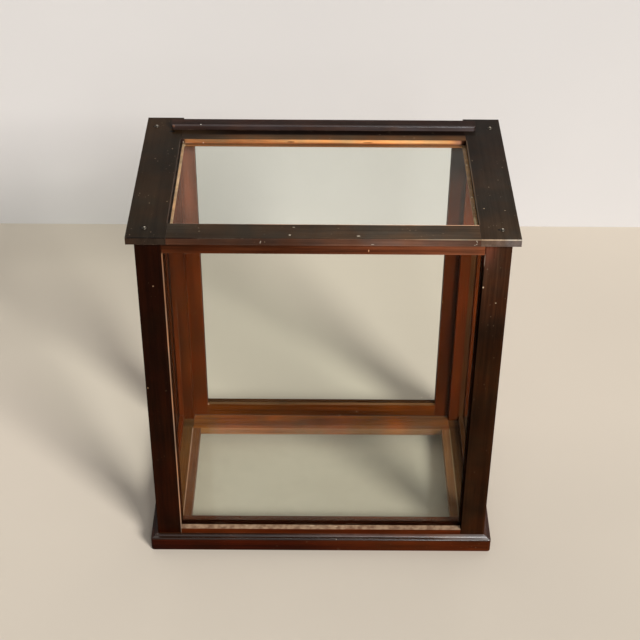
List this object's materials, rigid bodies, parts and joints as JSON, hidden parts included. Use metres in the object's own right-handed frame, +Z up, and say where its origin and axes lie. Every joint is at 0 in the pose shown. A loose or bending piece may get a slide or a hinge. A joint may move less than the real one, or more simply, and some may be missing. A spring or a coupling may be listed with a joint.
{
  "type": "display cabinet",
  "caption": "Glazed wooden counter-top display cabinet with a moulded plinth, a framed glass top and a glazed back sash that slides up and lifts out through the top.",
  "frame": {"origin": "middle of the footprint, on the ground under the plinth", "axes": "+Z up, +X to the right across the front, +Y from the front towards the back sash"},
  "size_m": [0.686, 0.429, 0.7663],
  "materials": {
    "case_wood": "satin, dark stained, worn",
    "base_wood": "satin, dark red stain, worn",
    "top_wood": "satin, nearly black, worn at the edges",
    "sash_wood": "satin, reddish brown",
    "cap_wood": "polished by handling, dark",
    "bead_wood": "satin, reddish brown",
    "clear_glass": "polished, old drawn glass",
    "screw_brass": "darkened, dull"
  },
  "bodies": {
    "cabinet": {"base_front_rail": "base_wood", "base_rear_rail": "base_wood", "base_left_rail": "base_wood", "base_right_rail": "base_wood", "plinth_front": "base_wood", "plinth_rear": "base_wood", "plinth_left": "base_wood", "plinth_right": "base_wood", "bottom_glass": "clear_glass", "front_left_post": "case_wood", "front_right_post": "case_wood", "rear_left_post": "case_wood", "rear_right_post": "case_wood", "front_bottom_rail": "case_wood", "front_top_rail": "case_wood", "left_bottom_rail": "case_wood", "left_top_rail": "case_wood", "right_bottom_rail": "case_wood", "right_top_rail": "case_wood", "rear_top_rail": "case_wood", "front_glass": "clear_glass", "left_glass": "clear_glass", "right_glass": "clear_glass", "front_glazing_beads": "bead_wood", "left_glazing_beads": "bead_wood", "right_glazing_beads": "bead_wood", "top_left_stile": "top_wood", "top_right_stile": "top_wood", "top_front_rail": "top_wood", "top_rear_rail": "top_wood", "top_glass": "clear_glass", "top_glass_strips": "bead_wood", "top_screws": "screw_brass"},
    "sash": {"sash_left_stile": "sash_wood", "sash_right_stile": "sash_wood", "sash_top_rail": "sash_wood", "sash_bottom_rail": "sash_wood", "sash_glass": "clear_glass", "sash_glazing_beads": "bead_wood", "sash_cap": "cap_wood"}
  },
  "joints": [
    {"name": "sash_lift", "type": "slide", "parent": "cabinet", "child": "sash", "axis": [0, 0, 1], "range_m": [0, 0.72]}
  ]
}
